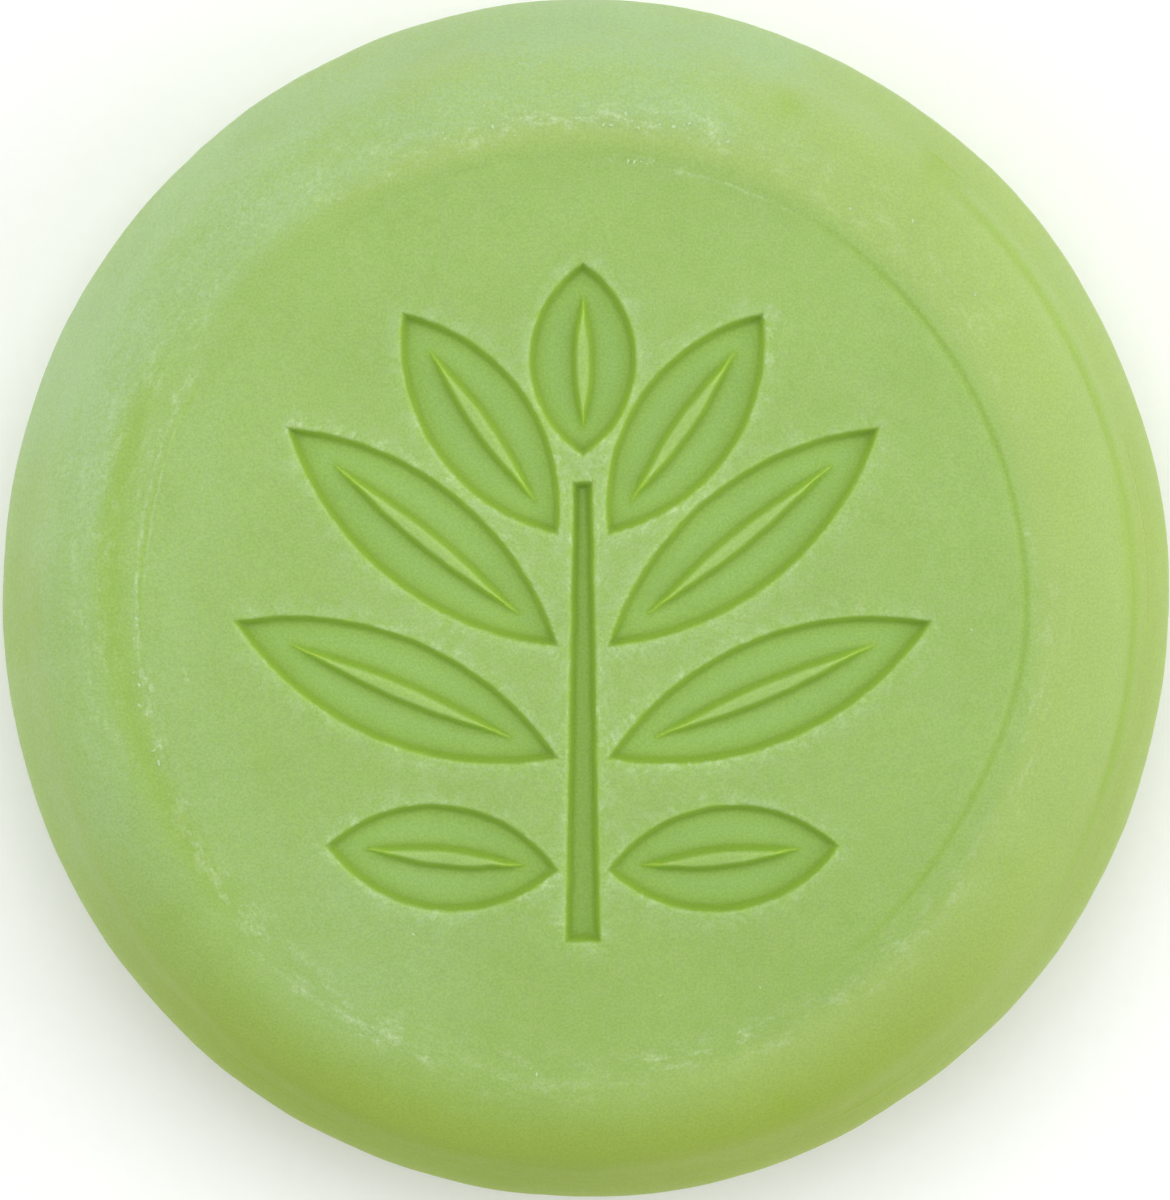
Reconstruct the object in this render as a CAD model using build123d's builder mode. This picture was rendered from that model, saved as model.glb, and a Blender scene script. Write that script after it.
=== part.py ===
"""Pressed round soap puck, one solid piece.

The puck was squeezed in a band die: an upper and a lower punch close inside a bulged ring. Each punch
leaves a flat panel with a fine groove round it, a rim that stands a hair higher, and a rounded shoulder.
A narrow ledge shows where it met the ring. The upper punch also presses a sprig of leaves into its panel.

Row frame: millimetres, +Z up out of the decorated face, +Y towards the tip of the sprig, and the origin
at the middle of the underside, in the plane that the puck rests on.
"""

import os
from math import sqrt

from build123d import *

# Outside size
WIDTH = 70.0  # across the girth, along X
OVAL = 1.027  # length along Y over width: the soft puck left its die a little out of round
THICKNESS = 24.0
HALF = THICKNESS / 2
GIRTH_R = WIDTH / 2

# Section of one punch: radii along X, drops below the top of the rim
PANEL_R = 26.0  # where the engraved insert of the punch ends
PANEL_DROP = 0.1
RIM_TOP_R = 27.2
RIM_WORN = 0.03  # worn off the top of the rim, which leaves the flat ring that the puck rests on
SHOULDER_R = 33.0  # outer edge of the punch

# Band that the ring of the die formed, and the ledge between it and each punch
BAND_HALF = 6.4
LEDGE = 0.3

# Witness groove round the engraved insert
GROOVE_R = 0.16

# Sprig pressed into the upper panel
SPRIG_R = 20.4  # the tips of the leaves lie on this circle
SPRIG_DEPTH = 1.1
DRAFT = 14.0  # degrees, on every wall
STEM_FOOT_Y = -19.4
STEM_TOP_Y = 7.6
STEM_WIDTHS = (2.0, 1.1)  # at its foot and at its top
TIP_LEAF_FOOT_Y = 9.2
LEAF_WIDTH = 6.2
LEAF_GAP = 1.5  # from the middle of the stem to the foot of a leaf
LEAF_PAIRS = ((-15.2, 84.0), (-8.6, 67.0), (-2.0, 51.0), (4.6, 35.0))  # foot height, degrees from the stem
RIB_WIDTH = 1.3  # raised midrib inside each leaf, at its foot on the floor of the leaf
RIB_SPAN = (0.15, 0.82)  # shares of the leaf's length

QUARTER = 90  # degrees
PANEL_Z = THICKNESS - PANEL_DROP
FLOOR_Z = PANEL_Z - SPRIG_DEPTH


def spindle(foot, tip, width):
    """Sketch of the face between two equal arcs from foot to tip."""
    middle = (foot + tip) / 2
    side = (tip - foot).normalized().rotate(Axis.Z, 90) * (width / 2)
    with BuildSketch() as outline:
        with BuildLine():
            ThreePointArc(foot, middle - side, tip)
            ThreePointArc(tip, middle + side, foot)
        make_face()
    return outline.sketch


def leaf_axes():
    """(foot, tip) of every leaf of the sprig: the tip leaf, then the pairs from the foot of the stem up."""
    axes = [(Vector(0, TIP_LEAF_FOOT_Y), Vector(0, SPRIG_R))]
    for foot_y, angle in LEAF_PAIRS:
        for hand in (-1, 1):
            foot = Vector(hand * LEAF_GAP, foot_y)
            along = Vector(0, 1).rotate(Axis.Z, -hand * angle)
            short = foot.dot(along)
            length = sqrt(short**2 + SPRIG_R**2 - foot.length**2) - short
            axes.append((foot, foot + along * length))
    return axes


# The blank about mid height: a quarter of it is turned, drawn out of round along Y, and mirrored
with BuildPart() as blank:
    with BuildSketch(Plane.XZ):
        with BuildLine():
            centre = Line((0, 0), (0, HALF - PANEL_DROP))
            panel = Line(centre @ 1, (PANEL_R, HALF - PANEL_DROP))
            rim = TangentArc((RIM_TOP_R, HALF + RIM_WORN), panel @ 1, tangent=(-1, 0))
            shoulder = EllipticalCenterArc(
                (RIM_TOP_R, BAND_HALF),
                SHOULDER_R - RIM_TOP_R,
                HALF + RIM_WORN - BAND_HALF,
                arc_size=QUARTER,
            )
            ledge = Line((SHOULDER_R, BAND_HALF), (SHOULDER_R + LEDGE, BAND_HALF))
            band = TangentArc((GIRTH_R, 0), ledge @ 1, tangent=(0, 1))
            Line(band @ 0, centre @ 0)
        make_face()
        mirror(about=Plane.XZ)
    revolve(axis=Axis.Z, revolution_arc=QUARTER)
    with BuildSketch(Plane.XZ):
        with Locations((PANEL_R, HALF - PANEL_DROP), (PANEL_R, PANEL_DROP - HALF)):
            Circle(GROOVE_R)
    revolve(axis=Axis.Z, revolution_arc=QUARTER, mode=Mode.SUBTRACT)
    scale(by=(1, OVAL, 1))
    mirror(about=Plane.XZ)
    mirror(about=Plane.YZ)

# The finished puck: the worn rims, and the sprig in the upper panel
with BuildPart() as soap_puck:
    add(blank.part.moved(Location((0, 0, HALF))))
    split(bisect_by=Plane.XY, keep=Keep.TOP)
    split(bisect_by=Plane.XY.offset(THICKNESS), keep=Keep.BOTTOM)
    with BuildSketch(Plane.XY.offset(PANEL_Z)):
        with BuildLine():
            Polyline(
                (-STEM_WIDTHS[0] / 2, STEM_FOOT_Y),
                (STEM_WIDTHS[0] / 2, STEM_FOOT_Y),
                (STEM_WIDTHS[1] / 2, STEM_TOP_Y),
                (-STEM_WIDTHS[1] / 2, STEM_TOP_Y),
                close=True,
            )
        make_face()
        for foot, tip in leaf_axes():
            add(spindle(foot, tip, LEAF_WIDTH))
    extrude(amount=-SPRIG_DEPTH, taper=DRAFT, mode=Mode.SUBTRACT)
    with BuildSketch(Plane.XY.offset(FLOOR_Z)):
        for foot, tip in leaf_axes():
            start, end = (foot + (tip - foot) * share for share in RIB_SPAN)
            add(spindle(start, end, RIB_WIDTH))
    extrude(amount=SPRIG_DEPTH, taper=DRAFT)

os.makedirs("parts", exist_ok=True)
soap_puck.part.label = "soap_puck"
export_step(soap_puck.part, "parts/soap_puck.step")
print("volume, cubic mm:", round(soap_puck.part.volume))
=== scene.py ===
"""Looks of the pressed soap puck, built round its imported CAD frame.

The puck is one block of milled soap. One closed mesh stands for its CAD node: it has the same section
and the same sprig, with the softened edges, uneven rims, dents and flash that a pressed soap has.
A second piece holds the dry flecks of soap that cling to it.

Lengths are in millimetres until a mesh is made. Bearings are in degrees round the puck from +X, and a
turn is (middle bearing, half width, fade), also in degrees.
"""

import math

import bpy
import numpy as np
from mathutils import Matrix, Vector
from mathutils.geometry import delaunay_2d_cdt


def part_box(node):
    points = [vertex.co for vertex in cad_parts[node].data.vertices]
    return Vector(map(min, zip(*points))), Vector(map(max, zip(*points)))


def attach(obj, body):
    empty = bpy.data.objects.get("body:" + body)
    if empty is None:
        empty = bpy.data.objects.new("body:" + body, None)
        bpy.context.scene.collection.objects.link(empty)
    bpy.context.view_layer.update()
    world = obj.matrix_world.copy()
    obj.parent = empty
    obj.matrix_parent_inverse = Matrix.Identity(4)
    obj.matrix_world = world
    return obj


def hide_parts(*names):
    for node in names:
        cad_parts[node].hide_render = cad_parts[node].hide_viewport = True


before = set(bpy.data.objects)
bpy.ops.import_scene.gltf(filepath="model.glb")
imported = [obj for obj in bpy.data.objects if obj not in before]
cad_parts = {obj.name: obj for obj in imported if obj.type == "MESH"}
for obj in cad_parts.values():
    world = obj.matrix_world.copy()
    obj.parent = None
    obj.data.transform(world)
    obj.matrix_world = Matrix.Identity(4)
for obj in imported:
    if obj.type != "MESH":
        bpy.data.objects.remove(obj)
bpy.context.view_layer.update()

MM = 0.001
LOW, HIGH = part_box("soap_puck")

# Outside size, from the frame. The mesh stays a hair inside, so that its swells never pass the box.
MARGIN = 0.06
GIRTH_R = (HIGH.x - LOW.x) / 2 / MM - MARGIN
OVAL = (HIGH.y - LOW.y) / (HIGH.x - LOW.x)
BASE_Z = LOW.z / MM
TOP_Z = HIGH.z / MM
MIDDLE_Z = (BASE_Z + TOP_Z) / 2

# Section of one punch, as in the CAD: radii along X, drops below the top of the rim
PANEL_R = 26.0
PANEL_DROP = 0.1
RIM_TOP_R = 27.2
RIM_WORN = 0.03
SHOULDER_R = 33.0
BAND_HALF = 6.4
LEDGE = 0.3

# Sprig in the upper panel, as in the CAD
SPRIG_R = 20.4
SPRIG_DEPTH = 1.1
DRAFT = math.radians(14)
STEM_FOOT_Y = -19.4
STEM_TOP_Y = 7.6
STEM_WIDTHS = (2.0, 1.1)
TIP_LEAF_FOOT_Y = 9.2
LEAF_WIDTH = 6.2
LEAF_GAP = 1.5
LEAF_PAIRS = ((-15.2, 84.0), (-8.6, 67.0), (-2.0, 51.0), (4.6, 35.0))
RIB_WIDTH = 1.3
RIB_SPAN = (0.15, 0.82)

ATTRIBUTES = ("sink", "lip", "wall", "dent")  # of the body mesh, read by its material

# Fineness of the mesh
SPOKES = 432
ROW_STEP = 0.36
FINE_ROW_STEP = 0.09
OUTLINE_STEP = 0.24
FILL_STEP = 0.46
UNDERSIDE_FILL_STEP = 0.9

WALL = SPRIG_DEPTH * math.tan(DRAFT)  # width of a sprig wall seen from above
EDGE = 0.16  # half the width over which the soap rounds off a pressed edge
PANEL_Z = TOP_Z - PANEL_DROP
FILL_R = 21.0  # the panels hold scattered points as far as this, and rings of points beyond

# What the press left on the upper face
RING_TURN = (2, 38, 30)  # where the witness groove round the panel is open
RING_DIP = 0.9  # how far the groove is drawn inwards at the lower right
RING_DIP_TURN = (315, 12, 34)
HAIR_TURN = (168, 16, 4)  # where the nearly closed groove shows as a hairline
HOLLOW_TURN = (186, 26, 18)  # a shallow hollow inside the rim on the left
HOLLOW_SPAN = (150, 215)  # bearings between which its radius changes
HOLLOW_R = (28.4, 26.7)
CREASE_TURN = (12, 26, 24)  # a soft crease in the shoulder on the right
CREASE_R = 32.4


# ---------------------------------------------------------------- fields

def waves(seed, shortest, longest, count=70):
    """A smooth random field of unit strength: plane waves with lengths from shortest to longest."""
    random = np.random.default_rng(seed)
    direction = random.normal(size=(count, 3))
    direction /= np.linalg.norm(direction, axis=1)[:, None]
    length = np.exp(random.uniform(math.log(shortest), math.log(longest), count))
    phase = random.uniform(0, 2 * math.pi, count)
    rates = direction * (2 * math.pi / length)[:, None]

    def field(points):
        total = np.zeros(len(points))
        for rate, start in zip(rates, phase):
            total += np.cos(points @ rate + start)
        return total * math.sqrt(2 / count)

    return field


def bump(distance, width):
    """1 at distance 0, falling smoothly to nothing over about two widths."""
    return np.exp(-((distance / width) ** 2))


def smooth(value, low, high):
    """0 below low, 1 above high, eased between."""
    share = np.clip((value - low) / (high - low), 0, 1)
    return share * share * (3 - 2 * share)


def turn_window(angle, middle, half_width, fade):
    """1 within half_width degrees of the middle bearing, 0 past a further fade degrees."""
    away = np.abs((angle - middle + 180) % 360 - 180)
    return 1 - smooth(away, half_width, half_width + fade)


# ---------------------------------------------------------------- section of the body

def arc(centre, radii, start, stop, count=60):
    """Points along an ellipse about centre, between two angles in degrees."""
    angle = np.radians(np.linspace(start, stop, count))
    return np.column_stack((centre[0] + radii[0] * np.cos(angle), centre[1] + radii[1] * np.sin(angle)))


def tangent_radius(run, rise):
    """Radius of the arc that starts along the run and climbs rise over it."""
    return (run * run + rise * rise) / (2 * rise)


def half_section():
    """Outline from inside the upper panel, over the rim and out to the girth, as (radius, height)."""
    rim_run, rim_rise = RIM_TOP_R - PANEL_R, PANEL_DROP + RIM_WORN
    rim_r = tangent_radius(rim_run, rim_rise)
    rim_turn = math.degrees(2 * math.atan(rim_rise / rim_run))
    rim_z, ledge_z = TOP_Z + RIM_WORN, MIDDLE_Z + BAND_HALF
    rim = arc((RIM_TOP_R, rim_z - rim_r), (rim_r, rim_r), 90 + rim_turn, 90)
    shoulder = arc((RIM_TOP_R, ledge_z), (SHOULDER_R - RIM_TOP_R, rim_z - ledge_z), 90, 0)
    band_run = GIRTH_R - SHOULDER_R - LEDGE
    band_r = tangent_radius(BAND_HALF, band_run)
    band_turn = math.degrees(2 * math.atan(band_run / BAND_HALF))
    band = arc((GIRTH_R - band_r, MIDDLE_Z), (band_r, band_r), band_turn, 0)
    return np.vstack(([(FILL_R, PANEL_Z)], rim, shoulder[1:], band))


def resample(outline, step):
    """The outline at equal steps."""
    along = np.concatenate(([0], np.cumsum(np.linalg.norm(np.diff(outline, axis=0), axis=1))))
    keep = np.concatenate(([True], np.diff(along) > 1e-9))
    even = np.linspace(0, along[-1], int(along[-1] / step) + 1)
    return np.column_stack([np.interp(even, along[keep], outline[keep, k]) for k in (0, 1)])


def soften(outline, step, reach):
    """The evenly stepped outline with its corners rounded over about reach."""
    half = int(3 * reach / step)
    weights = bump(np.arange(-half, half + 1) * step, reach * math.sqrt(2))
    weights /= weights.sum()
    turned = []
    for column in outline.T:
        before = 2 * column[0] - column[half:0:-1]
        after = 2 * column[-1] - column[-2:-half - 2:-1]
        turned.append(np.convolve(np.concatenate((before, column, after)), weights, "valid"))
    return np.column_stack(turned)


SECTION_STEP = 0.02
CRISP_REACH, SOFT_REACH, FLOWING_REACH = 0.10, 0.7, 1.7  # over which each version rounds its corners
FINE_REACH = (0.3, 1.6)  # the rows are fine as near a feature as the first, and coarse past the second


def full_section():
    """Rows of the body from the upper panel round to the lower one: crisp, softened and flowing."""
    upper = resample(half_section(), SECTION_STEP)
    lower = upper[-2::-1] * (1, -1) + (0, 2 * MIDDLE_Z)
    whole = np.vstack((upper, lower))
    crisp, soft, flowing = (
        soften(whole, SECTION_STEP, reach) for reach in (CRISP_REACH, SOFT_REACH, FLOWING_REACH)
    )
    # The rows crowd round the witness grooves and the ledges
    features = np.concatenate([
        np.flatnonzero(np.abs(crisp[:, 0] - PANEL_R) < SECTION_STEP / 2),
        np.flatnonzero(np.abs(np.abs(crisp[:, 1] - MIDDLE_Z) - BAND_HALF) < SECTION_STEP / 2),
    ])
    index = np.arange(len(crisp))
    away = np.min(np.abs(index[:, None] - features[None, :]), axis=1) * SECTION_STEP
    spacing = FINE_ROW_STEP + (ROW_STEP - FINE_ROW_STEP) * smooth(away, *FINE_REACH)
    rank = np.concatenate(([0], np.cumsum(SECTION_STEP / spacing)[:-1]))
    picks = np.interp(np.linspace(0, rank[-1], int(rank[-1]) + 1), rank, index).round().astype(int)
    return crisp[picks], soft[picks], flowing[picks]


# ---------------------------------------------------------------- sprig

def leaf_axes():
    """(foot, tip) of every leaf: the tip leaf, then the pairs from the foot of the stem up."""
    axes = [(Vector((0, TIP_LEAF_FOOT_Y)), Vector((0, SPRIG_R)))]
    for foot_y, degrees in LEAF_PAIRS:
        for hand in (-1, 1):
            foot = Vector((hand * LEAF_GAP, foot_y))
            along = Vector((hand * math.sin(math.radians(degrees)), math.cos(math.radians(degrees))))
            short = foot.dot(along)
            length = math.sqrt(short**2 + SPRIG_R**2 - foot.length_squared) - short
            axes.append((foot, foot + along * length))
    return axes


class Spindle:
    """The face between two equal arcs from foot to tip."""

    def __init__(self, foot, tip, width):
        self.middle = np.array((foot + tip) / 2)
        self.half = (tip - foot).length / 2
        self.along = np.array((tip - foot).normalized())
        self.across = np.array((-self.along[1], self.along[0]))
        self.radius = (4 * self.half**2 + width**2) / (4 * width)
        self.back = self.radius - width / 2
        self.corners = [np.array(foot), np.array(tip)]

    def inside(self, points):
        """Distance to the outline, positive inside."""
        u = (points - self.middle) @ self.along
        v = np.abs((points - self.middle) @ self.across)
        facing_arc = np.abs(u) * self.back < self.half * (v + self.back)
        to_arc = self.radius - np.hypot(u, v + self.back)
        return np.where(facing_arc, to_arc, -np.hypot(np.abs(u) - self.half, v))

    def outline(self):
        """Points along the outline and the inward direction at each."""
        reach = math.atan2(self.half, self.back)
        turns = np.linspace(-reach, reach, max(6, int(2 * reach * self.radius / OUTLINE_STEP)))
        points, inward = [], []
        for side in (-1, 1):
            outward = np.outer(np.sin(turns), self.along) + side * np.outer(np.cos(turns), self.across)
            points.append(self.middle - side * self.back * self.across + outward * self.radius)
            inward.append(-outward)
        return np.vstack(points), np.vstack(inward)


class Stem:
    """The tapered stem, a convex face."""

    def __init__(self):
        foot, top = STEM_WIDTHS[0] / 2, STEM_WIDTHS[1] / 2
        corners = [(-foot, STEM_FOOT_Y), (foot, STEM_FOOT_Y), (top, STEM_TOP_Y), (-top, STEM_TOP_Y)]
        self.corners = [np.array(c) for c in corners]

    def sides(self):
        for start, end in zip(self.corners, self.corners[1:] + self.corners[:1]):
            along = (end - start) / np.linalg.norm(end - start)
            yield start, end, along, np.array((-along[1], along[0]))

    def inside(self, points):
        """Distance to the outline, positive inside."""
        nearest = np.full(len(points), np.inf)
        within = np.full(len(points), True)
        for start, end, along, inward in self.sides():
            run = np.clip((points - start) @ along, 0, np.linalg.norm(end - start))
            nearest = np.minimum(nearest, np.linalg.norm(points - start - np.outer(run, along), axis=1))
            within &= (points - start) @ inward > 0
        return np.where(within, nearest, -nearest)

    def outline(self):
        """Points along the outline and the inward direction at each."""
        points, inward = [], []
        for start, end, along, normal in self.sides():
            count = max(4, int(np.linalg.norm(end - start) / OUTLINE_STEP))
            points.append(start + np.outer(np.linspace(0, 1, count), end - start))
            inward.append(np.tile(normal, (count, 1)))
        return np.vstack(points), np.vstack(inward)


LEAVES = [Spindle(foot, tip, LEAF_WIDTH) for foot, tip in leaf_axes()]
RIBS = [
    Spindle(foot + (tip - foot) * RIB_SPAN[0], foot + (tip - foot) * RIB_SPAN[1], RIB_WIDTH)
    for foot, tip in leaf_axes()
]
CUTS = [*LEAVES, Stem()]


def depth_in(shapes, points):
    """Distance inside the nearest of the shapes, negative outside them all."""
    return np.max([shape.inside(points) for shape in shapes], axis=0)


def contours(shapes, offsets):
    """Points along the shapes' outlines moved inwards by each offset, with fans round their corners."""
    found = []
    for shape in shapes:
        points, inward = shape.outline()
        for offset in offsets:
            tries = [points + inward * offset]
            if offset < 0:
                turns = np.radians(np.arange(0, 360, 20))
                fan = np.column_stack((np.cos(turns), np.sin(turns))) * -offset
                tries += [corner + fan for corner in shape.corners]
            tries = np.vstack(tries)
            found.append(tries[np.abs(depth_in(shapes, tries) - offset) < 1e-3])
    return np.vstack(found)


def ramp(distance):
    """0 outside a pressed edge and 1 past its wall, with both ends of the wall rounded."""
    def rounded(x):
        return np.where(np.abs(x) < EDGE, (x + EDGE) ** 2 / (4 * EDGE), np.maximum(x, 0))
    return (rounded(distance) - rounded(distance - WALL)) / WALL


# ---------------------------------------------------------------- body mesh

def round_radius(points):
    """Radius before the puck was drawn out of round."""
    return np.hypot(points[:, 0], points[:, 1] / OVAL)


def bearing(points):
    """Degrees round the puck from +X."""
    return np.degrees(np.arctan2(points[:, 1], points[:, 0])) % 360


LOWER_LEDGE_KEPT = 0.7  # the soap filled the die at the upper ledge, and in part at the lower one
LEDGE_REACH = 3.2
RIM_REACH = 1.3


def outer_rows():
    """Points and normals of the body outside its two panels, row by row, and the number of rows."""
    crisp, soft, flowing = full_section()
    kept = np.where(crisp[:, 1:] < MIDDLE_Z, LOWER_LEDGE_KEPT, 0.0)
    to_flowing = (1 - kept) * bump(np.abs(crisp[:, 1:] - MIDDLE_Z) - BAND_HALF, LEDGE_REACH)
    to_soft = bump(crisp[:, :1] - PANEL_R - 0.3, RIM_REACH) * (1 - to_flowing)
    section = crisp * (1 - to_flowing - to_soft) + soft * to_soft + flowing * to_flowing
    tangent = np.gradient(crisp, axis=0)
    tangent /= np.linalg.norm(tangent, axis=1)[:, None]

    angles = np.arange(SPOKES) * 2 * math.pi / SPOKES
    cos, sin = np.cos(angles), np.sin(angles)
    radius, height = section[:, :1], np.repeat(section[:, 1:], SPOKES, axis=1)
    outwards, upwards = -tangent[:, 1:], np.repeat(tangent[:, :1], SPOKES, axis=1)
    points = np.stack((radius * cos, radius * sin * OVAL, height), axis=2)
    normals = np.stack((outwards * cos, outwards * sin, upwards), axis=2)
    return points.reshape(-1, 3), normals.reshape(-1, 3), len(crisp)


JITTER = 0.12  # share of the step by which the scattered points are moved


def hex_grid(reach, step, seed):
    """Slightly uneven points that fill a square of half width reach."""
    random = np.random.default_rng(seed)
    rows = np.arange(-reach, reach, step * math.sqrt(3) / 2)
    columns = np.arange(-reach, reach, step)
    points = np.array([(x + (k % 2) * step / 2, y) for k, y in enumerate(rows) for x in columns])
    return points + random.uniform(-JITTER, JITTER, points.shape) * step


def thinned(points, gap):
    """The points, without those that share a cell of the gap's size with an earlier one."""
    _, first = np.unique(np.round(points / gap).astype(int), axis=0, return_index=True)
    return points[np.sort(first)]


def plain_panel_points():
    """Points inside the flat of the lower panel."""
    fill = hex_grid(FILL_R * OVAL, UNDERSIDE_FILL_STEP, 3)
    return fill[round_radius(fill) < FILL_R - UNDERSIDE_FILL_STEP * 0.5]


def sprig_panel_points():
    """Points inside the flat of the upper panel, crowded along the edges of the sprig."""
    fill = hex_grid(FILL_R * OVAL, FILL_STEP, 4)
    fill = fill[round_radius(fill) < FILL_R - FILL_STEP * 0.5]
    cut, rib = depth_in(CUTS, fill), depth_in(RIBS, fill)
    beside_cut = (cut > -EDGE - 0.2) & (cut < WALL + EDGE + 0.2)
    beside_rib = (rib > -EDGE - 0.15) & (rib < WALL + EDGE + 0.15)
    across_wall = np.linspace(-EDGE, WALL + EDGE, 9)
    lines = np.vstack((
        contours(CUTS, [-EDGE - 0.11, *across_wall, WALL + EDGE + 0.12]),
        contours(RIBS, across_wall),
    ))
    return np.vstack((thinned(lines, 0.035), fill[~beside_cut & ~beside_rib]))


def panel_faces(ring, inner):
    """Triangles that fill the ring, over its own points and then the inner ones."""
    points = [Vector(p) for p in np.vstack((ring, inner))]
    _, _, faces, origins, _, _ = delaunay_2d_cdt(points, [], [], 0, 1e-7)
    order = [origin[0] for origin in origins]
    return [[order[v] for v in face] for face in faces]


def swell(points):
    """Slow unevenness of soap squeezed between two punches, less on the underside, where it has lain."""
    slow = 0.045 * waves(11, 16, 40)(points) * (0.4 + 0.6 * smooth(points[:, 2], BASE_Z, MIDDLE_Z))
    return slow + 0.018 * waves(12, 4, 9)(points) + 0.006 * waves(13, 1.1, 2.4)(points)


GROOVE_DEPTH, GROOVE_WIDTH = 0.10, 0.22
CLOSED_GROOVE = 0.15  # share of the depth that the upper groove keeps where the rim has closed over it
LOWER_GROOVE = 0.7
HOLLOW_DEPTH, HOLLOW_WIDTH = 0.09, 0.8
CREASE_DEPTH, CREASE_WIDTH = 0.13, 0.30


def rim_relief(points):
    """The witness groove round each panel, and the hollow and the crease in the upper rim."""
    radius, angle, upper = round_radius(points), bearing(points), points[:, 2] > MIDDLE_Z
    opened = CLOSED_GROOVE + (1 - CLOSED_GROOVE) * turn_window(angle, *RING_TURN)
    ring_r = PANEL_R - RING_DIP * turn_window(angle, *RING_DIP_TURN) * upper
    groove = GROOVE_DEPTH * bump(radius - ring_r, GROOVE_WIDTH) * np.where(upper, opened, LOWER_GROOVE)
    hollow_r = HOLLOW_R[0] + (HOLLOW_R[1] - HOLLOW_R[0]) * smooth(angle, *HOLLOW_SPAN)
    hollow = HOLLOW_DEPTH * bump(radius - hollow_r, HOLLOW_WIDTH) * turn_window(angle, *HOLLOW_TURN)
    crease = CREASE_DEPTH * bump(radius - CREASE_R, CREASE_WIDTH) * turn_window(angle, *CREASE_TURN)
    return -groove - (hollow + crease) * upper


KNOCK_DEPTH = 0.12  # of the deepest dent
KNOCKS = (  # x, y, radius, depth
    (12.0, 29.7, 0.9, 0.10),
    (20.7, 26.0, 1.0, 0.12),
    (21.8, 25.0, 0.7, 0.08),
    (-24.3, -18.2, 1.0, 0.09),
    (11.9, -29.4, 0.8, 0.08),
    (-23.8, 17.6, 1.3, 0.07),
    (-12.2, 28.1, 0.7, 0.06),
    (24.6, -14.9, 0.9, 0.05),
    (6.1, 16.8, 0.5, 0.04),
    (25.7, -1.5, 0.35, 0.07),
)


def knocked_in(points):
    """How deep the small dents in the upper face are at each point."""
    depths = [
        depth * bump(np.hypot(points[:, 0] - x, points[:, 1] - y), radius) for x, y, radius, depth in KNOCKS
    ]
    return sum(depths) * (points[:, 2] > MIDDLE_Z + BAND_HALF)


UPPER_FLASH, LOWER_FLASH = 0.02, 0.14
TREMBLE = 0.016  # how far the outline of the sprig wanders from its drawn line
RIB_HEIGHT = 0.97  # as a share of the sprig's depth


def flash(points):
    """Thin soap squeezed up at the outer corner of each ledge, in torn stretches."""
    corner = bump(round_radius(points) - SHOULDER_R - LEDGE, 0.22)
    corner *= bump(np.abs(points[:, 2] - MIDDLE_Z) - BAND_HALF, 0.30)
    torn = smooth(waves(21, 2.0, 14)(points), 0.0, 1.5) * (0.7 + 0.4 * waves(22, 0.7, 1.6)(points))
    height = np.where(points[:, 2] > MIDDLE_Z, UPPER_FLASH, LOWER_FLASH)
    return height * corner * np.clip(torn, 0, 1.3)


def sprig_sink(points):
    """How far the sprig is pressed down at each point of the upper panel, as a share of its depth."""
    wander = np.column_stack((waves(31, 1.2, 4)(points), waves(32, 1.2, 4)(points)))
    flat = points[:, :2] + TREMBLE * wander
    return ramp(depth_in(CUTS, flat)) - RIB_HEIGHT * ramp(depth_in(RIBS, flat))


def fading(distance, reach):
    """1 up to distance 0, and a share 1/e at the reach."""
    return np.exp(-np.maximum(distance, 0) / reach)


def sprig_marks(points):
    """How near each point of the upper panel is to the lip of the sprig, and to its walls."""
    in_cut, in_rib = depth_in(CUTS, points), depth_in(RIBS, points)
    lip = bump(np.minimum(in_cut, 0), 0.9) * (in_cut < 0.05)
    # nearness to the walls, which the material darkens as painted shade
    cut_wall = fading(-in_cut, 0.07) * fading(in_cut - WALL, 0.65)
    rib_wall = fading(-in_rib, 0.45) * fading(in_rib - WALL * 0.8, 0.07)
    return lip, np.maximum(cut_wall, rib_wall)


def kept_in_box(points):
    """The points with whatever passes the CAD box pressed back: the rims end in worn flats."""
    spread = GIRTH_R + MARGIN * 0.9
    over = np.minimum(1, spread / np.maximum(round_radius(points), 1e-6))
    points[:, :2] *= over[:, None]
    points[:, 2] = np.clip(points[:, 2], BASE_Z, TOP_Z)
    return points


def body_faces(row_count, upper, lower, rings):
    """Faces of the rows and of both panels; the panels' points follow the rows, upper before lower."""
    spoke = np.arange(SPOKES)
    following = (spoke + 1) % SPOKES
    faces = []
    for row in range(row_count - 1):
        near, far = row * SPOKES, (row + 1) * SPOKES
        faces += np.column_stack((near + spoke, far + spoke, far + following, near + following)).tolist()
    first_upper = row_count * SPOKES
    first_lower = first_upper + len(upper)
    upper_index = np.concatenate((spoke, first_upper + np.arange(len(upper))))
    lower_index = np.concatenate((first_upper - SPOKES + spoke, first_lower + np.arange(len(lower))))
    faces += [upper_index[face].tolist() for face in panel_faces(rings[0], upper)]
    faces += [lower_index[face[::-1]].tolist() for face in panel_faces(rings[1], lower)]
    return faces


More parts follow.
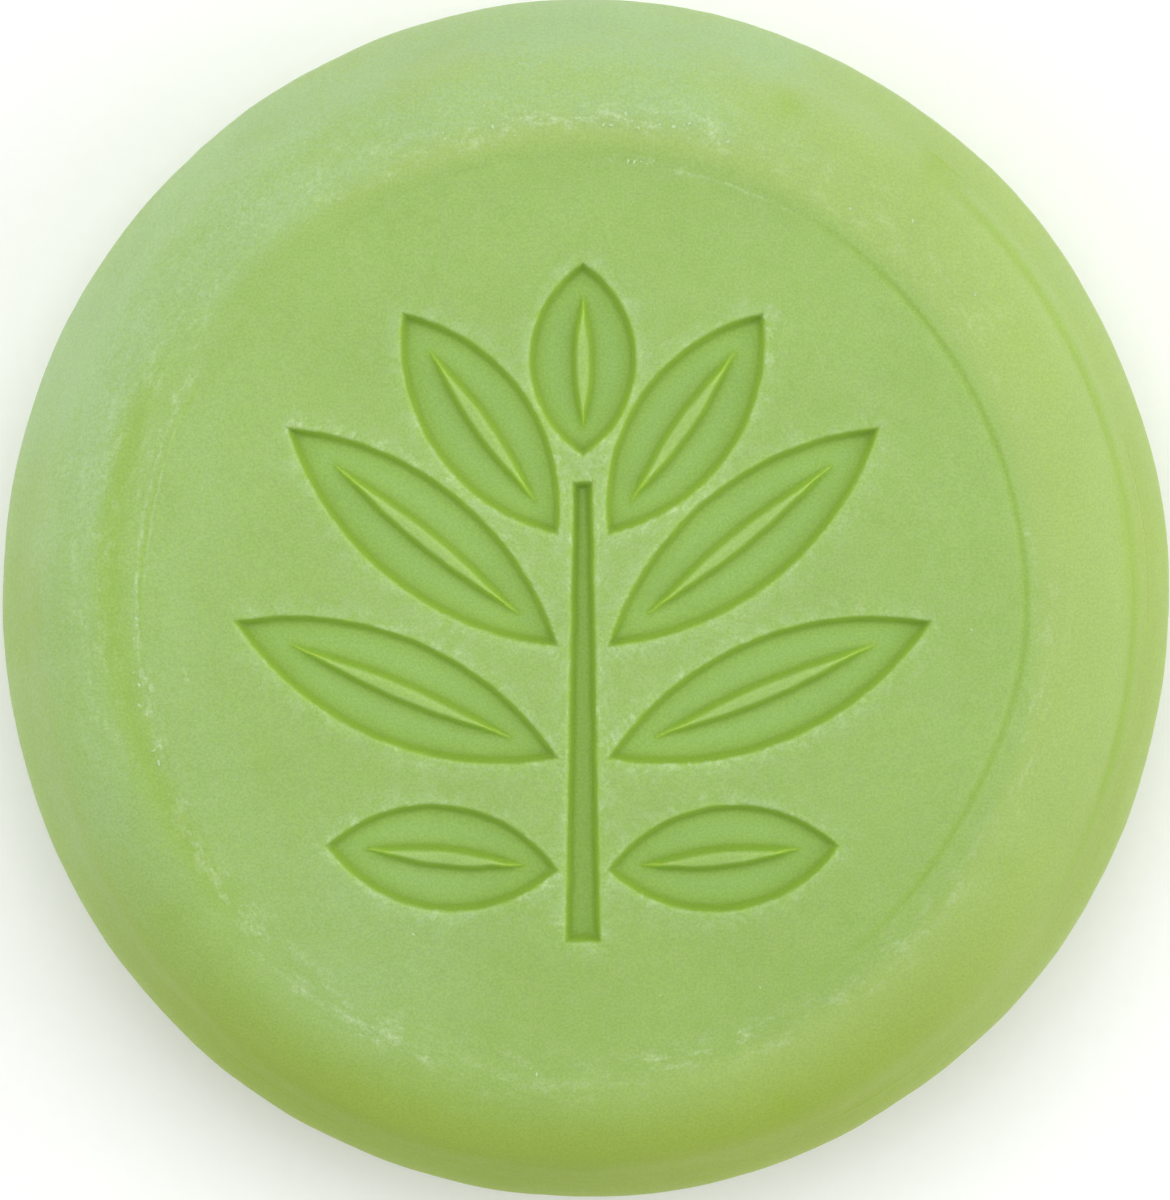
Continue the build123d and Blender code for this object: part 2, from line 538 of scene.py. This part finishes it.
def make_body():
    """The puck's mesh; its attributes say how deep and near the edges of the sprig and dents a point is."""
    rows, normals, row_count = outer_rows()
    upper, lower = sprig_panel_points(), plain_panel_points()
    faces = body_faces(row_count, upper, lower, (rows[:SPOKES, :2], rows[-SPOKES:, :2]))
    points = np.vstack((
        rows,
        np.column_stack((upper, np.full(len(upper), PANEL_Z))),
        np.column_stack((lower, np.full(len(lower), BASE_Z + PANEL_DROP))),
    ))
    normals = np.vstack((
        normals,
        np.tile((0, 0, 1), (len(upper), 1)),
        np.tile((0, 0, -1), (len(lower), 1)),
    ))

    on_panel = slice(len(rows), len(rows) + len(upper))
    sink, lip, wall = (np.zeros(len(points)) for _ in range(3))
    sink[on_panel] = sprig_sink(points[on_panel])
    lip[on_panel], wall[on_panel] = sprig_marks(upper)
    knocked = knocked_in(points)
    relief = swell(points) + rim_relief(points) - knocked + flash(points)
    points = points + normals * relief[:, None]
    points[:, 2] -= sink * SPRIG_DEPTH
    points = kept_in_box(points)

    mesh = bpy.data.meshes.new("soap_puck_body")
    mesh.from_pydata((points * MM).tolist(), [], faces)
    # The material paints shade into the soap by the wall and dent attributes.
    for name, values in zip(ATTRIBUTES, (sink, lip, wall, knocked / KNOCK_DEPTH)):
        mesh.attributes.new(name, "FLOAT", "POINT").data.foreach_set("value", values.astype(np.float32))
    mesh.shade_smooth()
    body = bpy.data.objects.new("soap_puck_body", mesh)
    bpy.context.scene.collection.objects.link(body)
    return body


# ---------------------------------------------------------------- dry flecks

FLECK_SIDES = 9
FLECK_LEVELS = ((0.55, 0.16), (1.0, -0.05), (0.6, -0.40))  # reach and height, as shares of the size


def fleck(random, centre, normal, size):
    """A flat chip with an uneven outline, half sunk into the surface: (points, faces)."""
    start, stretch = random.uniform(0, 2 * math.pi), random.uniform(1.1, 2.2)
    spin = Matrix.Rotation(random.uniform(0, 2 * math.pi), 3, "Z")
    basis = Vector(normal).to_track_quat("Z", "Y").to_matrix() @ spin
    outline = random.uniform(0.55, 1.25, FLECK_SIDES)
    points, faces = [(0, 0, size * random.uniform(0.14, 0.26))], []
    for reach, z in FLECK_LEVELS:
        for k in range(FLECK_SIDES):
            angle = start + 2 * math.pi * k / FLECK_SIDES
            r = size * reach * outline[k] * random.uniform(0.85, 1.15)
            height = size * z * random.uniform(0.6, 1.3)
            points.append((r * math.cos(angle) * stretch, r * math.sin(angle), height))
    for k in range(FLECK_SIDES):
        after = (k + 1) % FLECK_SIDES
        faces.append((0, 1 + k, 1 + after))
        for level in range(len(FLECK_LEVELS) - 1):
            near, far = 1 + level * FLECK_SIDES, 1 + (level + 1) * FLECK_SIDES
            faces.append((near + k, far + k, far + after, near + after))
    faces.append(tuple(range(3 * FLECK_SIDES, 2 * FLECK_SIDES, -1)))
    return [Vector(centre) + basis @ Vector(p) for p in points], faces


FLECK_SIZES = (0.05, 0.10)  # the smallest, and how much the largest adds
FLECK_DRIFTS = (  # bearing, half width, radius, spread of the radius, how many
    (88, 18, 28.2, 0.5, 30),
    (111, 14, 28.4, 0.8, 8),
    (82, 4, 25.9, 0.2, 5),
    (157, 8, 26.7, 0.4, 8),
    (184, 26, 26.3, 0.5, 16),
    (241, 10, 27.3, 0.3, 14),
    (235, 18, 26.5, 0.8, 12),
    (260, 12, 26.7, 0.8, 8),
    (4, 3, 26.9, 0.3, 2),
    (40, 40, 28.0, 1.5, 4),
    (270, 180, 22.5, 2.5, 4),
)


def make_flecks(body):
    """Crumbs of dry soap that cling to the upper rim, in drifts."""
    random = np.random.default_rng(41)
    mesh = body.data
    places = np.zeros(len(mesh.vertices) * 3)
    normals = np.zeros(len(mesh.vertices) * 3)
    mesh.vertices.foreach_get("co", places)
    mesh.vertex_normals.foreach_get("vector", normals)
    places, normals = places.reshape(-1, 3) / MM, normals.reshape(-1, 3)
    upper = np.flatnonzero(places[:, 2] > MIDDLE_Z + BAND_HALF + 2)
    flat = places[upper, :2]
    points, faces = [], []
    for middle, half_width, radius, spread, count in FLECK_DRIFTS:
        for _ in range(count):
            angle = math.radians(middle + half_width * np.clip(random.normal(0, 0.5), -1, 1))
            r = radius + spread * random.normal(0, 0.5)
            spot = np.array((r * math.cos(angle), r * math.sin(angle) * OVAL))
            nearest = upper[np.argmin(np.sum((flat - spot) ** 2, axis=1))]
            size = FLECK_SIZES[0] + FLECK_SIZES[1] * random.power(0.5) * random.uniform(0.3, 1)
            if places[nearest, 2] + size * 0.45 > TOP_Z:
                continue
            made, sides = fleck(random, places[nearest], normals[nearest], size)
            faces += [tuple(len(points) + v for v in side) for side in sides]
            points += made
    mesh = bpy.data.meshes.new("dry_flecks")
    mesh.from_pydata([Vector(p) * MM for p in points], [], faces)
    mesh.shade_smooth()
    flecks = bpy.data.objects.new("dry_flecks", mesh)
    bpy.context.scene.collection.objects.link(flecks)
    return flecks


# ---------------------------------------------------------------- materials

class Graph:
    """Adds shader nodes to one material and links them."""

    def __init__(self, name):
        self.material = bpy.data.materials.new(name)
        self.material.use_nodes = True
        self.tree = self.material.node_tree
        self.tree.nodes.clear()

    def add(self, kind, inputs, **settings):
        """A node whose inputs are linked to sockets or set to values, by name or number."""
        made = self.tree.nodes.new(kind)
        for key, value in settings.items():
            setattr(made, key, value)
        for key, value in inputs.items():
            if isinstance(value, bpy.types.NodeSocket):
                self.tree.links.new(value, made.inputs[key])
            else:
                made.inputs[key].default_value = value
        return made

    def math(self, operation, *values):
        return self.add("ShaderNodeMath", dict(enumerate(values)), operation=operation).outputs[0]

    def total(self, operation, values):
        """All the values joined by one operation."""
        joined = values[0]
        for value in values[1:]:
            joined = self.math(operation, joined, value)
        return joined

    def times(self, *values):
        return self.total("MULTIPLY", values)

    def less(self, share, amount):
        """What is left of 1 when an amount of the share is taken away."""
        return self.math("SUBTRACT", 1.0, self.times(share, amount))

    def attribute(self, name):
        return self.add("ShaderNodeAttribute", {}, attribute_name=name).outputs["Fac"]

    def vector(self, *parts):
        return self.add("ShaderNodeCombineXYZ", dict(enumerate(parts))).outputs[0]

    def scaled(self, vector, factor):
        return self.add("ShaderNodeVectorMath", {0: vector, "Scale": factor}, operation="SCALE").outputs[0]

    def noise(self, vector, scale, detail=3.0, roughness=0.55):
        inputs = {"Vector": vector, "Scale": scale, "Detail": detail, "Roughness": roughness}
        return self.add("ShaderNodeTexNoise", inputs).outputs["Fac"]

    def ease(self, value, low, high, to_low=0.0, to_high=1.0):
        """The value's share between low and high, eased, from to_low to to_high."""
        inputs = {"Value": value, "From Min": low, "From Max": high, "To Min": to_low, "To Max": to_high}
        made = self.add("ShaderNodeMapRange", inputs, interpolation_type="SMOOTHSTEP")
        return made.outputs["Result"]

    def mix(self, share, low, high):
        """The colour that lies a share of the way from low to high."""
        made = self.tree.nodes.new("ShaderNodeMix")
        made.data_type = "RGBA"
        for name, kind, value in (("Factor", "VALUE", share), ("A", "RGBA", low), ("B", "RGBA", high)):
            socket = next(s for s in made.inputs if s.name == name and s.type == kind)
            if isinstance(value, bpy.types.NodeSocket):
                self.tree.links.new(value, socket)
            else:
                socket.default_value = value
        return next(s for s in made.outputs if s.type == "RGBA")

    def window(self, turn, middle, half_width, fade):
        """1 within half_width degrees of the middle bearing, 0 past a further fade degrees."""
        off = self.math("WRAP", self.math("SUBTRACT", turn, middle), 180.0, -180.0)
        return self.ease(self.math("ABSOLUTE", off), half_width, half_width + fade, 1.0, 0.0)

    def peak(self, value, middle, width):
        """1 where the value is at the middle, easing to 0 a width away."""
        away = self.math("ABSOLUTE", self.math("SUBTRACT", value, middle))
        return self.ease(away, 0.0, width, 1.0, 0.0)

    def bump(self, height, distance):
        inputs = {"Height": height, "Distance": distance, "Strength": 1.0}
        return self.add("ShaderNodeBump", inputs).outputs[0]

    def finish(self, **sockets):
        """The shader and the output; in the names of sockets, _ stands for a space."""
        inputs = {name.replace("_", " "): value for name, value in sockets.items()}
        shader = self.add("ShaderNodeBsdfPrincipled", inputs)
        self.add("ShaderNodeOutputMaterial", {"Surface": shader.outputs[0]})
        return self.material


SOAP = (0.333, 0.486, 0.130, 1)
SOAP_DEEP = (0.307, 0.469, 0.107, 1)
SOAP_RIM = (0.370, 0.506, 0.132, 1)
# painted shade: the rim below the sprig and the band on the right, darker and more olive
SOAP_OLIVE_SHADE = (0.325, 0.445, 0.050, 1)
# painted shade at the edge of the upper rim
SOAP_EDGE_SHADE = (0.290, 0.418, 0.030, 1)
# painted shade in the sprig's walls, the grooves, the crease, the dents and the hollow
SOAP_RECESS_SHADE = (0.290, 0.465, 0.036, 1)
SOAP_FLOOR = (0.310, 0.505, 0.130, 1)
BLOOM = (0.374, 0.537, 0.243, 1)
CHALK = (0.570, 0.710, 0.415, 1)
DRY = (0.560, 0.715, 0.390, 1)

# bloom mixed with painted sheen on the rims that face the light
BLOOM_AND_SHEEN_ZONES = (  # strength, from and to radius, then the turn
    (0.55, 26.8, 29.0, 118, 32, 35),
    (0.23, 31.0, 35.0, 115, 38, 28),
    (0.20, 30.0, 34.5, 60, 30, 30),
    (0.17, 28.0, 30.0, 178, 22, 25),
    (0.15, 33.0, 34.8, 10, 30, 20),
    (0.15, 18.0, 24.0, 185, 25, 25),
)
SCUFFS = (  # strength, radius, half width, then the turn
    (1.15, 28.3, 0.85, 87, 12, 7),
    (0.90, 27.6, 0.60, 108, 5, 4),
    (0.55, 28.4, 1.30, 111, 8, 14),
    (0.90, 25.9, 0.30, 82, 4, 4),
    (0.35, 27.8, 1.00, 50, 20, 15),
    (1.00, 26.7, 0.45, 157, 7, 6),
    (1.20, 26.0, 0.40, 191, 6, 3),
    (0.80, 25.9, 0.40, 209, 9, 5),
    (0.36, 30.0, 1.20, 163, 12, 10),
    (0.45, 28.6, 1.80, 168, 22, 18),
    (1.00, 27.3, 0.40, 241, 9, 6),
    (0.65, 26.5, 1.20, 232, 18, 14),
    (0.50, 26.8, 1.40, 262, 10, 12),
    (0.90, 26.3, 0.90, 286, 7, 7),
    (0.55, 26.9, 1.00, 309, 16, 10),
    (0.36, 27.3, 1.40, 348, 18, 12),
    (0.26, 28.8, 2.20, 60, 22, 14),
    (0.24, 30.2, 2.00, 140, 26, 16),
)
# where the edge of the puck is darkened as painted shade
EDGE_SHADE_ZONES = (  # strength, then the turn
    (1.00, 248, 12, 28),
    (0.60, 205, 25, 25),
    (0.35, 350, 14, 22),
)
STREAKS = (  # strength, from and to bearing, from and to radius, half width
    (0.75, 146, 200, 26.50, 26.05, 0.12),
    (0.45, 150, 180, 26.05, 25.72, 0.10),
    (0.35, 198, 222, 26.02, 25.82, 0.10),
    (0.50, 60, 86, 25.85, 25.70, 0.10),
    (0.90, 229, 253, 27.35, 26.70, 0.26),
    (0.35, 252, 282, 26.70, 27.40, 0.35),
    (0.90, 9.6, 11.2, 26.40, 26.40, 0.30),
    (0.90, 187.6, 190.4, 23.60, 23.60, 0.18),
)
PALE_PATCH = (-12.5, -19.5, TOP_Z)  # the middle of a patch of bloom below the sprig
STREAK_FADE = 0.25  # share of a streak's length over which each end fades
SEAM = 315  # bearing at which the noises that run round the puck begin and end
SMEAR_PACE = 0.45  # those noises change this much slower along the rim than across it
DRAG_PACE = 0.09  # and the drag marks this much slower up the band than round it
WAVER = 0.06  # how far the thin lines stray from their radius
LIGHT_SPREAD = (1.0, 1.25, 0.45)  # how far light travels in the soap, as shares of LIGHT_REACH
LIGHT_REACH = 1.4


class SoapGraph(Graph):
    """What the looks of milled soap are made from: places on the puck, noises, and shares of each mark."""

    def __init__(self, name):
        super().__init__(name)
        place = self.add("ShaderNodeTexCoord", {}).outputs["Object"]
        self.spot = self.scaled(place, 1 / MM)
        x, self.y, self.z = self.add("ShaderNodeSeparateXYZ", {0: self.spot}).outputs
        round_y = self.math("DIVIDE", self.y, OVAL)
        self.radius = self.math("SQRT", self.math("ADD", self.times(x, x), self.times(round_y, round_y)))
        self.turn = self.math("DEGREES", self.math("ARCTAN2", self.y, x))
        self.full_turn = self.math("WRAP", self.turn, 360.0, 0.0)
        self.top_side = self.ease(self.z, MIDDLE_Z - BAND_HALF, MIDDLE_Z + BAND_HALF, 0.35, 1.0)
        self.sink, self.lip, self.wall, self.dent = (self.attribute(name) for name in ATTRIBUTES)

        self.grain = self.noise(self.spot, 7.0, 2.0, 0.7)
        self.speckle = self.noise(self.spot, 3.2, 4.0, 0.7)
        self.mottle = self.noise(self.spot, 1.1, 4.0, 0.6)
        self.cloud = self.noise(self.spot, 0.14, 3.0, 0.55)
        seamed = self.math("WRAP", self.turn, float(SEAM), float(SEAM - 360))
        self.round_spot = self.vector(self.radius, self.times(seamed, math.radians(SMEAR_PACE * PANEL_R)))
        self.smears = self.noise(self.round_spot, 1.15, 5.0, 0.68)
        # The ring of the die drags fine marks up the band as the puck is pushed out of it
        band = self.ease(
            self.math("ABSOLUTE", self.math("SUBTRACT", self.z, MIDDLE_Z)), 4.0, BAND_HALF + 1.0, 1.0, 0.0
        )
        drag_spot = self.vector(self.times(seamed, math.radians(GIRTH_R)), self.times(self.z, DRAG_PACE))
        self.drag = self.times(self.noise(drag_spot, 1.4, 4.0, 0.65), band)
        self.wavy_r = self.math("ADD", self.radius, self.ease(self.mottle, 0.3, 0.7, -WAVER, WAVER))

    def hollow(self):
        """The shallow hollow inside the rim."""
        off = self.math("SUBTRACT", self.radius, self.ease(self.full_turn, *HOLLOW_SPAN, *HOLLOW_R))
        return self.times(self.peak(off, 0.0, 1.5), self.window(self.turn, *HOLLOW_TURN))

    def olive_shade(self):
        """Painted shade: the rim below the sprig, on the side away from the light, and the band on the
        right, both darker and more olive.
        """
        rim = self.times(self.ease(self.radius, 26.8, 32.5), self.window(self.turn, -90, 20, 55))
        band = self.times(self.ease(self.radius, 32.7, 33.5, 0.0, 0.35), self.window(self.turn, 5, 40, 30))
        return self.math("MAXIMUM", rim, band)

    def edge(self):
        """Painted shade: a darker edge of the puck, strongest at the lower left."""
        zones = [self.times(self.window(self.turn, *turn), strength) for strength, *turn in EDGE_SHADE_ZONES]
        return self.times(self.ease(self.radius, 31.3, 32.4), self.total("MAXIMUM", zones), self.top_side)

    def bloom_and_sheen(self, hollow, olive_shade):
        """Dry bloom, a thin pale film of fine grains, mixed with painted sheen: paler towards the top, and
        thickest on the rim at the upper left, where the light falls.
        """
        # paler towards the top: painted sheen
        zones = [self.ease(self.y, -24.0, -6.0, 0.07, 0.16)]
        for strength, start, stop, *turn in BLOOM_AND_SHEEN_ZONES:
            ring = self.ease(self.radius, start, stop, 0.0, strength)
            zones.append(self.times(ring, self.window(self.turn, *turn)))
        inputs = {0: self.spot, 1: PALE_PATCH}
        from_patch = self.add("ShaderNodeVectorMath", inputs, operation="DISTANCE").outputs["Value"]
        zones.append(self.ease(from_patch, 2.0, 10.0, 0.26, 0.0))
        zones.append(self.times(self.lip, self.ease(self.mottle, 0.42, 0.60, 0.0, 0.4)))
        patches = self.noise(self.round_spot, 0.40, 4.0, 0.6)
        return self.times(
            self.total("ADD", zones),
            self.less(hollow, 0.9),
            self.ease(patches, 0.30, 0.70, 0.70, 1.25),
            self.ease(self.speckle, 0.30, 0.70, 0.60, 1.40),
            self.top_side,
            self.less(olive_shade, 0.80),
        )

    def smeared(self):
        """Chalk in smears along the witness groove, on the crest of the rim and beside the sprig."""
        zones = [self.times(self.lip, self.ease(self.cloud, 0.35, 0.65, 0.25, 0.75))]
        for strength, middle, reach, *turn in SCUFFS:
            ring = self.times(self.peak(self.radius, middle, reach * 1.6), strength)
            zones.append(self.times(ring, self.window(self.turn, *turn)))
        return self.times(self.total("MAXIMUM", zones), self.ease(self.smears, 0.47, 0.65))

    def streaked(self):
        """Chalk in thin streaks."""
        zones = []
        for strength, start, stop, first_r, last_r, reach in STREAKS:
            middle_r = self.ease(self.full_turn, start, stop, first_r, last_r)
            off = self.math("SUBTRACT", self.wavy_r, middle_r)
            line = self.times(self.peak(off, 0.0, reach * 1.5), strength)
            fade = (stop - start) * STREAK_FADE
            stretch = self.window(self.turn, (start + stop) / 2, (stop - start) / 2 - fade, fade)
            zones.append(self.times(line, stretch))
        return self.times(self.total("MAXIMUM", zones), self.ease(self.smears, 0.38, 0.58, 0.10, 1.0))

    def chalk(self):
        """All the chalky marks, with the pale rubs round the girth."""
        rubs = self.noise(self.spot, 0.55, 6.0, 0.72)
        rubbed = self.times(self.peak(self.z, MIDDLE_Z - 2.0, 5.5), self.ease(rubs, 0.56, 0.68, 0.0, 0.5))
        marks = self.total("MAXIMUM", (self.smeared(), self.streaked(), rubbed))
        return self.times(marks, self.ease(self.speckle, 0.34, 0.60, 0.15, 1.0), self.top_side)

    def recess_shade(self, hollow):
        """Painted shade in the walls of the sprig, the grooves, the crease, the dents and the hollow:
        darker, more saturated soap where less light reaches.
        """
        hair = self.times(self.peak(self.wavy_r, PANEL_R, 0.16), self.window(self.turn, *HAIR_TURN))
        dip = self.times(self.window(self.turn, *RING_DIP_TURN), RING_DIP)
        undipped_r = self.math("ADD", self.radius, dip)
        groove = self.times(self.peak(undipped_r, PANEL_R, 0.45), self.window(self.turn, *RING_TURN))
        crease = self.times(self.peak(self.wavy_r, CREASE_R, 0.60), self.window(self.turn, *CREASE_TURN))
        marks = (
            (self.wall, 0.75),
            (hair, 0.35),
            (groove, 0.42),
            (crease, 0.55),
            (self.dent, 0.45),
            (hollow, 0.24),
        )
        return self.times(self.total("MAXIMUM", [self.times(*mark) for mark in marks]), self.top_side)


def soap_material():
    """Milled soap: a fine grain, cloudy bloom on the rims mixed with painted sheen, chalky marks, and
    painted shade in the sprig, in the creases and on the lower rim.
    """
    g = SoapGraph("milled_soap")
    hollow, olive_shade, chalk = g.hollow(), g.olive_shade(), g.chalk()
    bloom_and_sheen = g.bloom_and_sheen(hollow, olive_shade)
    paler = g.times(g.ease(g.radius, 26.1, 27.6), g.window(g.turn, 20, 80, 40))
    colour = g.mix(g.ease(g.mottle, 0.3, 0.7), SOAP_DEEP, SOAP)
    for share, layer in (
        (paler, SOAP_RIM),
        (olive_shade, SOAP_OLIVE_SHADE),
        (g.edge(), SOAP_EDGE_SHADE),
        (g.ease(g.sink, 0.1, 0.95), SOAP_FLOOR),
        (bloom_and_sheen, BLOOM),
        (g.recess_shade(hollow), SOAP_RECESS_SHADE),
        (g.times(chalk, 0.7), CHALK),
    ):
        colour = g.mix(share, colour, layer)
    shade = g.times(
        g.ease(g.grain, 0.25, 0.75, 0.91, 1.09),
        g.ease(g.cloud, 0.25, 0.75, 0.98, 1.02),
        # painted shade: darker towards the bottom, away from the light
        g.ease(g.y, -34.0, 10.0, 0.93, 1.0),
        g.ease(g.drag, 0.3, 0.7, 1.0, 1.04),
    )
    dull = g.math("ADD", g.times(bloom_and_sheen, 0.15), g.times(chalk, 0.25))
    heights = ((g.drag, 0.05), (g.grain, 0.008), (g.speckle, 0.012), (g.mottle, 0.02), (chalk, 0.03))
    relief = g.total("ADD", [g.times(*height) for height in heights])
    return g.finish(
        Base_Color=g.scaled(colour, shade),
        Roughness=g.math("ADD", g.ease(g.mottle, 0.2, 0.8, 0.50, 0.60), dull),
        Normal=g.bump(relief, MM),
        IOR=1.46,
        Specular_IOR_Level=0.25,
        Subsurface_Weight=0.6,
        Subsurface_Radius=LIGHT_SPREAD,
        Subsurface_Scale=LIGHT_REACH * MM,
    )


def fleck_material():
    """Dry, paler soap."""
    g = Graph("dry_soap")
    place = g.add("ShaderNodeTexCoord", {}).outputs["Object"]
    mottle = g.noise(place, 3.0 / MM, 3.0, 0.6)
    grain = g.noise(place, 9.0 / MM, 2.0, 0.6)
    return g.finish(
        Base_Color=g.mix(g.ease(mottle, 0.3, 0.7), BLOOM, DRY),
        Roughness=g.ease(grain, 0.2, 0.8, 0.65, 0.85),
        Normal=g.bump(grain, 0.02 * MM),
        Specular_IOR_Level=0.2,
    )


def floor_material():
    """Matt white card."""
    g = Graph("white_card")
    place = g.add("ShaderNodeTexCoord", {}).outputs["Object"]
    fibre = g.noise(place, 0.9 / MM, 4.0, 0.6)
    tone = g.ease(fibre, 0.2, 0.8, 0.950, 0.970)
    return g.finish(Base_Color=g.vector(tone, tone, tone), Roughness=g.ease(fibre, 0.2, 0.8, 0.85, 0.95))


# ---------------------------------------------------------------- stage

CAMERA_DISTANCE = 550 * MM
CAMERA_TILT = math.radians(3.4)
CAMERA_SIDE = math.radians(0.6)
CAMERA_CLIP = (0.01, 20)
SENSOR = 36.0
FRAME_MARGIN = 1.0005  # height of the frame over the puck's length
MIDDLE = Vector((0, 0, MIDDLE_Z * MM))


def make_camera():
    """Almost straight above, a little towards the tip of the sprig and to the right, sprig upright."""
    back = Vector((math.tan(CAMERA_SIDE), math.tan(CAMERA_TILT), 1)).normalized()
    right = Vector((0, 1, 0)).cross(back).normalized()
    turned = Matrix((right, back.cross(right), back)).transposed().to_4x4()
    data = bpy.data.cameras.new("camera")
    data.sensor_width = SENSOR
    data.lens = SENSOR * CAMERA_DISTANCE / ((HIGH.y - LOW.y) * FRAME_MARGIN)
    data.clip_start, data.clip_end = CAMERA_CLIP
    camera = bpy.data.objects.new("camera", data)
    camera.matrix_world = Matrix.Translation(MIDDLE + back * CAMERA_DISTANCE) @ turned
    bpy.context.scene.collection.objects.link(camera)
    bpy.context.scene.camera = camera


STUDIO_LIGHT = 0.61
FLOOR_HALF = 3.0
LAMPS = (  # name, bearing and height in degrees, distance and size in metres, watts
    ("right", 0, 30, 0.80, 0.70, 1.80),
    ("left", 180, 30, 0.80, 0.70, 0.88),
    ("above", 88, 72, 1.10, 0.80, 5.33),
)


def make_lamp(name, turn, height, distance, size, power):
    """A soft round lamp that faces the middle of the puck."""
    turn, height = math.radians(turn), math.radians(height)
    flat = math.cos(height)
    towards = Vector((flat * math.cos(turn), flat * math.sin(turn), math.sin(height)))
    data = bpy.data.lights.new(name, "AREA")
    data.shape = "DISK"
    data.size = size
    data.energy = power
    lamp = bpy.data.objects.new(name, data)
    lamp.location = MIDDLE + towards * distance
    lamp.rotation_euler = (-towards).to_track_quat("-Z", "Y").to_euler()
    bpy.context.scene.collection.objects.link(lamp)


def make_floor():
    """A white card under the puck."""
    mesh = bpy.data.meshes.new("floor")
    corners = ((-1, -1), (1, -1), (1, 1), (-1, 1))
    mesh.from_pydata([(x * FLOOR_HALF, y * FLOOR_HALF, LOW.z) for x, y in corners], [], [(0, 1, 2, 3)])
    mesh.materials.append(floor_material())
    floor = bpy.data.objects.new("floor", mesh)
    bpy.context.scene.collection.objects.link(floor)


def make_stage():
    """A white studio with a card floor, a lamp on each side and one above the tip of the sprig."""
    world = bpy.data.worlds.new("studio")
    world.use_nodes = True
    background = world.node_tree.nodes["Background"]
    background.inputs["Color"].default_value = (1, 1, 1, 1)
    background.inputs["Strength"].default_value = STUDIO_LIGHT
    bpy.context.scene.world = world
    bpy.context.scene.view_settings.view_transform = "Standard"
    for lamp in LAMPS:
        make_lamp(*lamp)
    make_floor()


# ---------------------------------------------------------------- the object

body = make_body()
body.data.materials.append(soap_material())
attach(body, "root")
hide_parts("soap_puck")

flecks = make_flecks(body)
flecks.data.materials.append(fleck_material())
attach(flecks, "root")

make_camera()
make_stage()
